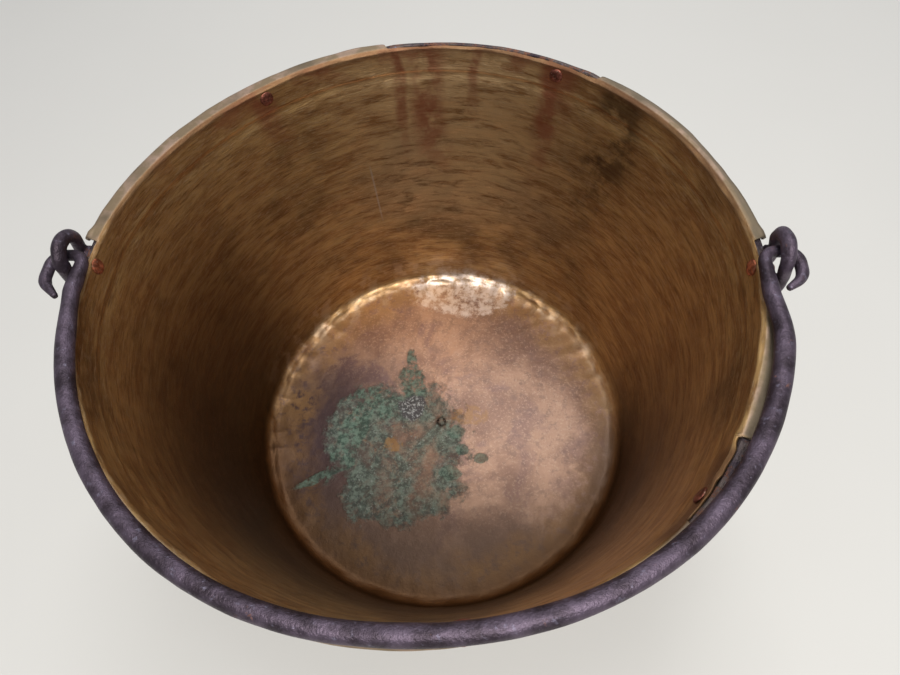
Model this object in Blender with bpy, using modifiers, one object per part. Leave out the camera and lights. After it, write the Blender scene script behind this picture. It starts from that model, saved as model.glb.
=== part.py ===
"""Hand-hammered brass kettle: a flaring pan folded over an iron hoop, with a hooked iron bail.

Metres, +Z up. The origin is the centre of the flat base's underside, +X runs through the right
ear, and the bail lies forward, towards -Y, on the front of the rim.
"""
from math import asin, atan2, cos, degrees, pi, radians, sin

import bmesh
import bpy
from mathutils import Matrix, Vector

# Driving dimensions
LIP_RADIUS = 0.200          # inside of the wall at the lip
FLOOR_RADIUS = 0.158        # inside of the wall carried down to the floor
LIP_HEIGHT = 0.2438         # top of the folded rim over the base
SHEET = 0.0012              # brass sheet
CORNER_RADIUS = 0.012       # sheet centreline between floor and wall
FOLD_RADIUS = 0.0018        # sheet centreline where it folds over the hoop
SKIRT = 0.0052              # how far the fold hangs down outside the hoop
GAP = 0.0003                # clearance between neighbouring pieces
TURN_STEPS = 72             # facets round every turned ring of the pan

HOOP_THICKNESS = 0.006
HOOP_HEIGHT = 0.018
HOOP_EDGE_RADIUS = 0.0013

TEAR = (-46.1, -30.6)       # degrees round the rim where the fold is torn away
WORN = (53.0, 100.0)        # degrees where the fold's outer part has broken off
EDGE_CUT = 0.0016           # from the lip radius to where a torn fold ends

RIVET_AZIMUTHS = {"rivet_back_right": 62.4, "rivet_back_left": 127.6,
                  "rivet_front": 280.4, "rivet_front_right": 319.0}
RIVET_DROP = 0.0088         # hoop rivet centre below the lip
EAR_RIVET_DROP = 0.0070     # ear rivet centre below the lip
RIVET_SHANK = 0.0026        # radii
RIVET_HEAD = 0.0052
RIVET_HEAD_HEIGHT = 0.0019
RIVET_TAIL = 0.0037
RIVET_TAIL_HEIGHT = 0.0017
RIVET_SEAT = 0.00045        # clearance under the heads, which are flat on a curved wall

EYE_RISE = 0.0066           # hinge axis above the lip
EYE_BACK = 0.0042           # hinge axis behind the pan's middle
EAR_REACH = 0.2108          # middle of the arch's bar from the pan's axis
LEG_SET = 0.0018            # the legs stand this much further out, clear of the hoop
EAR_RING = 0.0110           # centreline of the ear's arch about the hinge axis
EAR_BAR_NEAR = 0.0040
EAR_BAR_TOP = 0.0046
TANG_WIDTH = 0.030
TANG_HEIGHT = 0.027
TANG_THICKNESS = 0.0035
LEG_DEPTH = 0.013           # how far the ear's legs run down below the lip
NOTCH_HALF_WIDTH = 0.0172

ROD_RADIUS = 0.0055         # bail, at the crown
ROD_FATTER = 0.0001         # thicker by this much at the right, thinner at the left
ROD_NECK = 0.0048           # beside the ears
ROD_EYE = 0.0039            # through the ears
ROD_CURL = 0.0036           # outside the ears
ROD_TIP = 0.0018
BOW_DEPTH = 0.2025          # crown centreline in front of the pan's axis
BOW_STEPS = 22
BOW_SHARE = 0.875           # share of each quarter bow before the neck begins
NECK_REACH = 0.2008         # rod centreline inside the ears
NECK_START = 0.028          # ahead of the hinge axis

# The bail is hand forged, so its two halves differ. "width" is from the pan's axis to the
# side of the bow and "power" is its superellipse power: 2 is an ellipse, more is squarer.
# The hook is given by its centreline's distance out from the pan's axis ("reach") and
# ahead of the hinge axis ("depth").
BAIL_HALVES = {
    -1: {"width": 0.2005, "power": 2.06, "eye_depth": 0.0012, "curl_reach": 0.2204,
         "curl_depth": 0.021, "tip_reach": 0.2086, "tip_depth": 0.0320},
    1: {"width": 0.2070, "power": 2.20, "eye_depth": -0.0014, "curl_reach": 0.2200,
        "curl_depth": 0.0165, "tip_reach": 0.2092, "tip_depth": 0.0245},
}

# Derived
FLARE = atan2(LIP_RADIUS - FLOOR_RADIUS, LIP_HEIGHT - SHEET)
EYE_HEIGHT = LIP_HEIGHT + EYE_RISE
EAR_AZIMUTH = asin(EYE_BACK / EAR_REACH)
BAIL_TILT = asin((EYE_RISE - ROD_RADIUS - GAP) / (BOW_DEPTH + EYE_BACK))


def clear_scene():
    for old in list(bpy.data.objects):
        bpy.data.objects.remove(old, do_unlink=True)


def collection(name):
    made = bpy.data.collections.new(name)
    bpy.context.scene.collection.children.link(made)
    return made


def material(name, colour, roughness, metallic):
    made = bpy.data.materials.new(name)
    made.use_nodes = True
    shader = made.node_tree.nodes["Principled BSDF"]
    shader.inputs["Base Color"].default_value = (*colour, 1.0)
    shader.inputs["Roughness"].default_value = roughness
    shader.inputs["Metallic"].default_value = metallic
    return made


def add_object(name, data, home, finish=None):
    made = bpy.data.objects.new(name, data)
    home.objects.link(made)
    if finish:
        data.materials.append(finish)
    return made


def hide_cutter(made):
    made.hide_render = True
    made.display_type = "WIRE"
    return made


def add_cutter(name, data):
    return hide_cutter(add_object(name, data, CUTTERS))


def cut(target, cutter):
    """Boolean difference, kept as a modifier."""
    knife = target.modifiers.new(cutter.name, "BOOLEAN")
    knife.operation = "DIFFERENCE"
    knife.solver = "EXACT"
    knife.object = cutter


def wall_radius(height):
    """Inside radius of the wall at a height over the base."""
    return LIP_RADIUS - (LIP_HEIGHT - height) * sin(FLARE) / cos(FLARE)


def shifted_wall(offset, height):
    """Point at a height on the wall's inside line moved outwards, square to the wall."""
    return Vector((wall_radius(height) + offset / cos(FLARE), height))


def rounded_path(corners, radii, segments, closed=False):
    """A polyline whose corners are replaced by arcs of the given radii."""
    points = []
    count = len(corners)
    for index, corner in enumerate(corners):
        if radii[index] == 0 or (not closed and index in (0, count - 1)):
            points.append(corner.copy())
            continue
        before = (corners[index - 1] - corner).normalized()
        after = (corners[(index + 1) % count] - corner).normalized()
        half = before.angle(after) / 2
        centre = corner + (before + after).normalized() * radii[index] / sin(half)
        start = corner + before * radii[index] / (sin(half) / cos(half))
        end = corner + after * radii[index] / (sin(half) / cos(half))
        sweep = (start - centre).angle(end - centre)
        for step in range(segments + 1):
            share = step / segments
            mixed = ((start - centre) * sin((1 - share) * sweep)
                     + (end - centre) * sin(share * sweep)) / sin(sweep)
            points.append(centre + mixed)
    return points


def turned(name, profile, home, finish=None, closed=False, steps=TURN_STEPS):
    """An object whose (radius, height) profile is spun round its local Z axis."""
    shape = bmesh.new()
    verts = [shape.verts.new((point[0], 0.0, point[1])) for point in profile]
    for first, second in zip(verts, verts[1:]):
        shape.edges.new((first, second))
    if closed:
        shape.edges.new((verts[-1], verts[0]))
    data = bpy.data.meshes.new(name)
    shape.to_mesh(data)
    shape.free()
    made = add_object(name, data, home, finish)
    screw = made.modifiers.new("turn", "SCREW")
    screw.axis = "Z"
    screw.angle = 2 * pi
    screw.steps = steps
    screw.render_steps = steps
    screw.use_merge_vertices = True
    screw.merge_threshold = 0.00005
    screw.use_smooth_shade = True
    return made


def rod(name, path, radii, home, finish=None, sides=3):
    """A round bar along a path, thicker or thinner from point to point."""
    data = bpy.data.curves.new(name, "CURVE")
    data.dimensions = "3D"
    data.bevel_depth = 1.0
    data.bevel_resolution = sides
    data.use_fill_caps = True
    line = data.splines.new("POLY")
    line.points.add(len(path) - 1)
    for knot, point, radius in zip(line.points, path, radii):
        knot.co = (point[0], point[1], point[2], 1.0)
        knot.radius = radius
    return add_object(name, data, home, finish)


def as_mesh(source):
    """Replace a curve object by a closed mesh object of the same name and place."""
    bpy.context.view_layer.update()
    view = bpy.context.evaluated_depsgraph_get()
    data = bpy.data.meshes.new_from_object(source.evaluated_get(view))
    shape = bmesh.new()
    shape.from_mesh(data)
    bmesh.ops.remove_doubles(shape, verts=shape.verts, dist=0.00002)
    bmesh.ops.recalc_face_normals(shape, faces=shape.faces)
    shape.to_mesh(data)
    shape.free()
    name = source.name
    made = bpy.data.objects.new(name + "_mesh", data)
    source.users_collection[0].objects.link(made)
    made.matrix_world = source.matrix_world.copy()
    bpy.data.objects.remove(source, do_unlink=True)
    made.name = name
    data.name = name
    return made


def ring_sector(name, inner, outer, bottom, top, start, end):
    """A cutter: a block bent round the Z axis between two azimuths in degrees."""
    steps = max(4, round((end - start) / 2.5))
    azimuths = [radians(start + (end - start) * step / steps) for step in range(steps + 1)]
    outline = [(inner * cos(a), inner * sin(a)) for a in azimuths]
    outline += [(outer * cos(a), outer * sin(a)) for a in reversed(azimuths)]
    data = bpy.data.curves.new(name, "CURVE")
    data.dimensions = "2D"
    data.fill_mode = "BOTH"
    data.extrude = (top - bottom) / 2
    line = data.splines.new("POLY")
    line.points.add(len(outline) - 1)
    for knot, point in zip(line.points, outline):
        knot.co = (point[0], point[1], 0.0, 1.0)
    line.use_cyclic_u = True
    flat = add_object(name, data, CUTTERS)
    flat.location.z = (top + bottom) / 2
    return hide_cutter(as_mesh(flat))


def across_wall(azimuth, height):
    """Frame on the wall's inside: +Z square out through the wall, at an azimuth in radians."""
    turn = Matrix.Rotation(azimuth, 4, "Z")
    lean = Matrix.Rotation(pi / 2 + FLARE, 4, "Y")
    place = Matrix.Translation((wall_radius(height), 0.0, height))
    return turn @ place @ lean


def build_pan():
    """One sheet: floor, flaring wall, and the rim folded out over the hoop."""
    middle = SHEET / 2
    floor_height = middle
    top = LIP_HEIGHT - middle
    wall_foot = shifted_wall(middle, floor_height)
    wall_head = shifted_wall(middle, top)
    outside = SHEET + GAP + HOOP_THICKNESS + GAP + middle
    fold_edge = shifted_wall(outside, top)
    skirt_end = shifted_wall(outside, top - SKIRT)
    corners = [Vector((0.0, floor_height)), wall_foot, wall_head, fold_edge, skirt_end]
    radii = [0, CORNER_RADIUS, FOLD_RADIUS, FOLD_RADIUS, 0]
    profile = rounded_path(corners, radii, 4)
    pan = turned("pan_shell", profile, KETTLE, BRASS)
    shell = pan.modifiers.new("sheet", "SOLIDIFY")
    shell.thickness = SHEET
    shell.offset = 0.0
    shell.use_even_offset = True
    return pan


def build_hoop():
    """Iron band of parallelogram section, against the outside of the wall."""
    near = SHEET + GAP
    far = near + HOOP_THICKNESS
    top = LIP_HEIGHT - SHEET - GAP
    bottom = top - HOOP_HEIGHT
    corners = [shifted_wall(far, top), shifted_wall(far, bottom),
               shifted_wall(near, bottom), shifted_wall(near, top)]
    profile = rounded_path(corners, [HOOP_EDGE_RADIUS] * 4, 2, closed=True)
    return turned("rim_hoop", profile, KETTLE, IRON, closed=True)


def open_fold(pan):
    """Take away the fold where it is torn, worn, or cut back for an ear."""
    high = LIP_HEIGHT + 0.002
    low = LIP_HEIGHT - SKIRT - 0.004
    notch = degrees(asin(NOTCH_HALF_WIDTH / EAR_REACH))
    right = degrees(EAR_AZIMUTH)
    spans = {"tear": TEAR, "worn": WORN,
             "notch_right": (right - notch, right + notch),
             "notch_left": (180 - right - notch, 180 - right + notch)}
    for name, (start, end) in spans.items():
        cut(pan, ring_sector("cut_" + name, LIP_RADIUS + EDGE_CUT, LIP_RADIUS + 0.016,
                             low, high, start, end))


def rivet_profile(grip):
    """Domed head, shank and smaller peened tail; +Z points out of the pan."""
    head_base = -RIVET_SEAT
    tail_base = grip + RIVET_SEAT
    head_top = head_base - RIVET_HEAD_HEIGHT
    tail_top = tail_base + RIVET_TAIL_HEIGHT
    return [(0.0, tail_top),
            (RIVET_TAIL * 0.62, tail_top - RIVET_TAIL_HEIGHT * 0.18),
            (RIVET_TAIL, tail_base + RIVET_TAIL_HEIGHT * 0.25),
            (RIVET_TAIL, tail_base),
            (RIVET_SHANK, tail_base),
            (RIVET_SHANK, head_base),
            (RIVET_HEAD, head_base),
            (RIVET_HEAD, head_base - RIVET_HEAD_HEIGHT * 0.25),
            (RIVET_HEAD * 0.66, head_top + RIVET_HEAD_HEIGHT * 0.14),
            (0.0, head_top)]


def build_rivet(name, azimuth, drop, grip, drilled):
    """A copper rivet through every piece in drilled, its centre a drop below the lip."""
    place = across_wall(azimuth, LIP_HEIGHT - drop)
    rivet = turned(name, rivet_profile(grip), KETTLE, COPPER, steps=16)
    rivet.matrix_world = place
    reach = 0.014
    hole = bmesh.new()
    bmesh.ops.create_cone(hole, cap_ends=True, segments=16, radius1=RIVET_SHANK + GAP,
                          radius2=RIVET_SHANK + GAP, depth=2 * reach)
    data = bpy.data.meshes.new("drill_" + name)
    hole.to_mesh(data)
    hole.free()
    drill = add_cutter("drill_" + name, data)
    drill.matrix_world = place @ Matrix.Translation((0.0, 0.0, reach / 2))
    for piece in drilled:
        cut(piece, drill)


def build_ear(name, azimuth):
    """Forged ear: an arch about the hinge axis on a tang that lies on the hoop."""
    legs = LIP_HEIGHT - LEG_DEPTH
    shoulder = LIP_HEIGHT - SHEET
    arch = [Vector((LEG_SET, -EAR_RING, legs)), Vector((LEG_SET, -EAR_RING, shoulder))]
    radii = [EAR_BAR_NEAR, EAR_BAR_NEAR]
    bends = 12
    for step in range(bends + 1):
        turn = pi * step / bends
        arch.append(Vector((0.0, -EAR_RING * cos(turn), EYE_HEIGHT + EAR_RING * sin(turn))))
        radii.append(EAR_BAR_NEAR + (EAR_BAR_TOP - EAR_BAR_NEAR) * min(1.0, 2 * step / bends))
    arch += [Vector((LEG_SET, EAR_RING, shoulder)), Vector((LEG_SET, EAR_RING, legs))]
    radii += [EAR_BAR_NEAR, EAR_BAR_NEAR]
    ear = as_mesh(rod(name, arch, radii, KETTLE, IRON))
    ear.matrix_world = (Matrix.Rotation(azimuth, 4, "Z")
                        @ Matrix.Translation((EAR_REACH, 0.0, 0.0)))

    plate = bmesh.new()
    bmesh.ops.create_cube(plate, size=1.0)
    bmesh.ops.scale(plate, vec=(TANG_HEIGHT, TANG_WIDTH, TANG_THICKNESS), verts=plate.verts)
    data = bpy.data.meshes.new("tang_" + name)
    plate.to_mesh(data)
    plate.free()
    tang = add_cutter("tang_" + name, data)
    back = SHEET + GAP + HOOP_THICKNESS + GAP
    tang_middle = LIP_HEIGHT - SHEET - TANG_HEIGHT / 2
    tang.matrix_world = (across_wall(azimuth, tang_middle)
                         @ Matrix.Translation((0.0, 0.0, back + TANG_THICKNESS / 2)))
    edge = tang.modifiers.new("edge", "BEVEL")
    edge.width = 0.001
    edge.segments = 1
    weld = ear.modifiers.new("forge", "BOOLEAN")
    weld.operation = "UNION"
    weld.solver = "EXACT"
    weld.object = tang
    return ear


def bow_point(angle, side):
    """Point of the bow's superellipse; angle 0 is beside the pan, pi/2 is the crown."""
    half = BAIL_HALVES[side]
    across = half["width"] * cos(angle) ** (2 / half["power"])
    ahead = BOW_DEPTH * sin(angle) ** (2 / half["power"])
    return Vector((side * across, ahead + EYE_BACK))


def bail_half(side):
    """Points (across, ahead of the hinge axis) and radii from the crown to one hook's tip."""
    half = BAIL_HALVES[side]
    points = []
    radii = []
    for step in range(BOW_STEPS + 1):
        angle = pi / 2 * (1 - BOW_SHARE * step / BOW_STEPS)
        points.append(bow_point(angle, side))
        radii.append(ROD_RADIUS + side * ROD_FATTER * cos(angle))
    corners = [points[-1],
               Vector((side * NECK_REACH, NECK_START)),
               Vector((side * NECK_REACH, half["eye_depth"])),
               Vector((side * half["curl_reach"], half["eye_depth"])),
               Vector((side * half["curl_reach"], half["curl_depth"])),
               Vector((side * half["tip_reach"], half["tip_depth"]))]
    hook = rounded_path(corners, [0, 0.012, 0.008, 0.008, 0.011, 0], 4)[1:]
    lengths = [0.0]
    for first, second in zip(hook, hook[1:]):
        lengths.append(lengths[-1] + (second - first).length)
    stages = [(0.0, ROD_NECK), (0.026, ROD_NECK), (0.040, ROD_EYE), (0.052, ROD_CURL),
              (lengths[-1] - 0.015, ROD_CURL), (lengths[-1], ROD_TIP)]
    for length in lengths:
        for (near, thick), (far, thin) in zip(stages, stages[1:]):
            if length <= far:
                radii.append(thick + (thin - thick) * (length - near) / (far - near))
                break
    return points + hook, radii


def build_bail():
    """The handle: one tapered rod, turned on the hinge axis, resting on the front rim."""
    left, left_radii = bail_half(-1)
    right, right_radii = bail_half(1)
    flat = list(reversed(left)) + right[1:]
    radii = list(reversed(left_radii)) + right_radii[1:]
    path = [Vector((point[0], -point[1], 0.0)) for point in flat]
    bail = rod("bail", path, radii, KETTLE, IRON)
    bail.parent = HINGE
    return bail


clear_scene()
KETTLE = collection("brass_kettle")
CUTTERS = collection("cutters")
BRASS = material("aged_brass", (0.42, 0.27, 0.11), 0.42, 1.0)
IRON = material("wrought_iron", (0.10, 0.085, 0.09), 0.55, 0.8)
COPPER = material("rivet_copper", (0.45, 0.16, 0.10), 0.45, 1.0)

HINGE = bpy.data.objects.new("bail_hinge", None)
KETTLE.objects.link(HINGE)
HINGE.location = (0.0, EYE_BACK, EYE_HEIGHT)
HINGE.rotation_euler.x = BAIL_TILT

pan_shell = build_pan()
rim_hoop = build_hoop()
open_fold(pan_shell)

wall_grip = SHEET + GAP + HOOP_THICKNESS
for rivet_name, rivet_azimuth in RIVET_AZIMUTHS.items():
    build_rivet(rivet_name, radians(rivet_azimuth), RIVET_DROP, wall_grip,
                [pan_shell, rim_hoop])

ear_grip = wall_grip + GAP + TANG_THICKNESS
for hand, ear_azimuth in (("right", EAR_AZIMUTH), ("left", pi - EAR_AZIMUTH)):
    ear_piece = build_ear("ear_" + hand, ear_azimuth)
    build_rivet("ear_rivet_" + hand, ear_azimuth, EAR_RIVET_DROP, ear_grip,
                [pan_shell, rim_hoop, ear_piece])

build_bail()
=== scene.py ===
"""Looks of a hand-hammered brass kettle with an iron bail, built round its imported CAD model.

Every piece is a fine mesh that stands for the CAD node of the same name, in metres, +Z up,
with the origin under the middle of the base. The dimensions repeat those of the CAD part.
"""
from math import asin, atan2, cos, degrees, pi, radians, sin, tan

import bmesh
import bpy
import numpy as np
from mathutils import Matrix, Vector
from mathutils.kdtree import KDTree


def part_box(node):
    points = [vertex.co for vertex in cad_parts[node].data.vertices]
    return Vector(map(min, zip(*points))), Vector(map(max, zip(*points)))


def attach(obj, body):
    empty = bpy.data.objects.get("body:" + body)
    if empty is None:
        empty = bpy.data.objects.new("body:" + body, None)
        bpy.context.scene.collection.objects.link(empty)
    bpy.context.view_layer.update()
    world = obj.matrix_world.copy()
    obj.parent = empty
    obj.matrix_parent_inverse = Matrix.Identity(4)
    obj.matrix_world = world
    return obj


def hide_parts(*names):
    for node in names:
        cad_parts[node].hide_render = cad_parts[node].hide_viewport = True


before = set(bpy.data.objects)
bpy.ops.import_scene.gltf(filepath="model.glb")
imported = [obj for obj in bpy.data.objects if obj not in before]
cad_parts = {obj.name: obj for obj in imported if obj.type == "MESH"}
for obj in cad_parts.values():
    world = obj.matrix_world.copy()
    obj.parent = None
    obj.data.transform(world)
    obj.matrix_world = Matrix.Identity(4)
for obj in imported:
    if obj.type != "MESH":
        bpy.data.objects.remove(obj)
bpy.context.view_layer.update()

# Shape of the CAD part
LIP_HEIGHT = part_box("pan_shell")[1].z
LIP_RADIUS = 0.200
FLOOR_RADIUS = 0.158
SHEET = 0.0012
CORNER_RADIUS = 0.012
FOLD_RADIUS = 0.0018
SKIRT = 0.0052
GAP = 0.0003
HOOP_THICKNESS = 0.006
HOOP_HEIGHT = 0.018
TEAR = (-46.1, -30.6)
WORN = (53.0, 100.0)
NOTCH = 4.7                       # degrees each side of an ear
FLARE = atan2(LIP_RADIUS - FLOOR_RADIUS, LIP_HEIGHT - SHEET)
EYE_RISE = 0.0066
EYE_HEIGHT = LIP_HEIGHT + EYE_RISE
EYE_BACK = 0.0042
EAR_REACH = 0.2108
EAR_RING = 0.0106                 # the arch is a little thicker inwards than in the CAD
EAR_BAR_NEAR = 0.0040
EAR_BAR_TOP = 0.0046
LEG_SET = 0.0018
LEG_DEPTH = 0.013
RIVET_DROP = 0.0088                # hoop rivet centre below the lip
EAR_RIVET_DROP = 0.0070            # ear rivet centre below the lip
RIVET_AZIMUTHS = {"rivet_back_right": 62.4, "rivet_back_left": 127.6,
                  "rivet_front": 280.4, "rivet_front_right": 319.0}
TANG_HEIGHT, TANG_WIDTH, TANG_THICKNESS = 0.027, 0.030, 0.0035
EAR_AZIMUTH = degrees(asin(EYE_BACK / EAR_REACH))

# The kettle is out of round: at each azimuth, how many millimetres the lip stands outside
# its circle, and how much wider than the CAD band the folded band is
LIP_PUSH = ((5, 0.9), (22, -0.8), (45, -1.4), (60, -0.9), (78, 0.0), (95, 0.0), (112, -1.0),
            (128, -1.5), (140, -1.3), (150, 0.0), (160, 1.2), (171, 2.3), (185, 2.1),
            (198, 1.4), (210, 0.0), (222, -1.4), (240, -2.6), (262, -0.4), (285, 0.0),
            (300, 2.2), (310, 3.6), (320, 3.3), (329, 0.8), (337, -0.6), (348, 0.0))
BAND_WIDTH = ((7, 0.0), (22, -1.5), (33, 0.0), (45, -0.4), (52, -1.8), (60, -2.9),
              (97, -2.9), (103, 0.0), (114, 0.0), (126, 1.0), (140, 1.8), (165, 1.7),
              (176, 0.6), (190, 0.0), (350, 0.0))


# Surface noise

def smoothstep(value, low, high):
    share = np.clip((value - low) / (high - low), 0.0, 1.0)
    return share * share * (3 - 2 * share)


def ripple(turn, along, cells, pitch, seed):
    """Smooth noise from -1 to 1, with so many cells round a turn in degrees and one per
    pitch along it."""
    grid = np.random.default_rng(seed).uniform(-1, 1, (128, cells))
    across = (np.asarray(turn) / 360 * cells) % cells
    up = np.asarray(along) / pitch + 40
    column, row = np.floor(across).astype(int), np.floor(up).astype(int)
    u, v = smoothstep(across - column, 0, 1), smoothstep(up - row, 0, 1)
    right, above = (column + 1) % cells, (row + 1) % 128
    column, row = column % cells, row % 128
    low = grid[row, column] * (1 - u) + grid[row, right] * u
    high = grid[above, column] * (1 - u) + grid[above, right] * u
    return low * (1 - v) + high * v


def between(azimuth, start, end, soft):
    """1 between two azimuths and 0 outside, with soft degrees to either side."""
    middle = (azimuth - (start + end) / 2 + 180) % 360 - 180
    return 1 - smoothstep(np.abs(middle), (end - start) / 2 - soft, (end - start) / 2 + soft)


def round_table(pairs, azimuth):
    """Metres at an azimuth from a table of millimetres, rounded off between its entries."""
    total = 0
    for offset in (-3, -1.5, 0, 1.5, 3):
        total = total + np.interp(np.asarray(azimuth) + offset, [a for a, _ in pairs],
                                  [size for _, size in pairs], period=360)
    return total / 5000


def out_of_round(azimuth, height):
    """How far the wall stands outwards at an azimuth and a height."""
    return round_table(LIP_PUSH, azimuth) * np.clip(height / LIP_HEIGHT, 0, 1.1) ** 2


def near_ear(azimuth):
    """1 beside an ear's tang, 0 away from it."""
    return sum(between(azimuth, ear - 6.0, ear + 6.0, 2.0)
               for ear in (EAR_AZIMUTH, 180 - EAR_AZIMUTH))


# Meshes

def mesh_object(name, points, faces):
    data = bpy.data.meshes.new(name)
    data.from_pydata([tuple(point) for point in points], [], faces)
    data.validate()
    data.shade_smooth()
    made = bpy.data.objects.new(name, data)
    bpy.context.scene.collection.objects.link(made)
    return made


def grid_faces(rows, columns, start=0, flip=False):
    """Quads of a grid stored row by row, joined end to end round each row."""
    row, column = np.meshgrid(np.arange(rows - 1), np.arange(columns), indexing="ij")
    after = (column + 1) % columns
    corners = [row * columns + column, row * columns + after,
               (row + 1) * columns + after, (row + 1) * columns + column]
    if flip:
        corners.reverse()
    return (np.stack(corners, axis=-1).reshape(-1, 4) + start).tolist()


def wall_radius(height):
    return LIP_RADIUS - (LIP_HEIGHT - height) * tan(FLARE)


def shifted_wall(offset, height):
    return Vector((wall_radius(height) + offset / cos(FLARE), height))


def rounded_path(corners, radii, segments):
    """A polyline whose corners are replaced by arcs of the given radii."""
    points = []
    for index, corner in enumerate(corners):
        if radii[index] == 0:
            points.append(corner.copy())
            continue
        before = (corners[index - 1] - corner).normalized()
        after = (corners[(index + 1) % len(corners)] - corner).normalized()
        half = before.angle(after) / 2
        centre = corner + (before + after).normalized() * radii[index] / sin(half)
        start = corner + before * radii[index] / tan(half)
        end = corner + after * radii[index] / tan(half)
        sweep = (start - centre).angle(end - centre)
        for step in range(segments + 1):
            share = step / segments
            mixed = ((start - centre) * sin((1 - share) * sweep)
                     + (end - centre) * sin(share * sweep)) / sin(sweep)
            points.append(centre + mixed)
    return points


def lengths_along(path):
    steps = np.linalg.norm(np.diff(np.array(path), axis=0), axis=1)
    return np.concatenate([[0.0], np.cumsum(steps)])


# The pan

def sheet_line():
    """Centreline of the sheet in (radius, height), and where along it each bend starts."""
    middle = SHEET / 2
    top = LIP_HEIGHT - middle
    outside = SHEET + GAP + HOOP_THICKNESS + GAP + middle
    corners = [Vector((0.0, middle)), shifted_wall(middle, middle), shifted_wall(middle, top),
               shifted_wall(outside, top), shifted_wall(outside, top - SKIRT)]
    path = rounded_path(corners, [0, CORNER_RADIUS, FOLD_RADIUS, FOLD_RADIUS, 0], 12)
    path = np.array([tuple(point) for point in path])
    length = lengths_along(path)
    return path, length, {"corner": length[1], "wall": length[13], "lip": length[14],
                          "fold": length[26], "end": length[-1]}


def pan_azimuths():
    """Columns of the pan: 1 degree apart, and finer where the fold is broken."""
    edges = [*TEAR, *WORN]
    for ear in (EAR_AZIMUTH, 180 - EAR_AZIMUTH):
        edges += [ear - NOTCH, ear + NOTCH]
    fine = [edge + step * 0.2 for edge in edges for step in range(-9, 10)]
    inner = list(np.arange(TEAR[0], TEAR[1], 0.35))
    azimuths = np.unique(np.round(np.array(list(np.arange(0, 360, 1.0)) + fine + inner)
                                  % 360, 2))
    keep = np.concatenate([[True], np.diff(azimuths) > 0.12])
    return azimuths[keep]


def fold_end(azimuth, mark):
    """How far along the centreline the sheet reaches at each azimuth."""
    rag = ripple(azimuth, 0 * azimuth, 90, 1, 3) + 0.6 * ripple(azimuth, 0 * azimuth, 260, 1, 4)
    end = mark["end"] - 0.0006 + 0.0006 * rag
    torn = mark["lip"] + 0.0003 + 0.0011 * rag
    worn = mark["lip"] + 0.0009 + 0.0004 * rag
    notch = mark["lip"] + 0.0016 + 0.0003 * rag
    share = between(azimuth, *TEAR, 0.5)
    end = end * (1 - share) + torn * share
    share = between(azimuth, *WORN, 0.6)
    end = end * (1 - share) + worn * share
    for ear in (EAR_AZIMUTH, 180 - EAR_AZIMUTH):
        share = between(azimuth, ear - NOTCH, ear + NOTCH, 0.45)
        end = end * (1 - share) + notch * share
    return end


def hammer_marks(places, spacing, seed):
    """Search tree of the middles of hammer blows, set unevenly round rings of the given
    (radius, height)."""
    rng = np.random.default_rng(seed)
    tree_points = []
    for radius, height in places:
        count = max(1, round(2 * pi * radius / spacing))
        turn = rng.uniform(0, 2 * pi)
        for step in range(count):
            angle = turn + 2 * pi * (step + rng.uniform(-0.38, 0.38)) / count
            lift = rng.uniform(-0.4, 0.4) * spacing
            tree_points.append((radius * cos(angle), radius * sin(angle), height + lift))
    tree = KDTree(len(tree_points))
    for index, point in enumerate(tree_points):
        tree.insert(point, index)
    tree.balance()
    return tree


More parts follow.
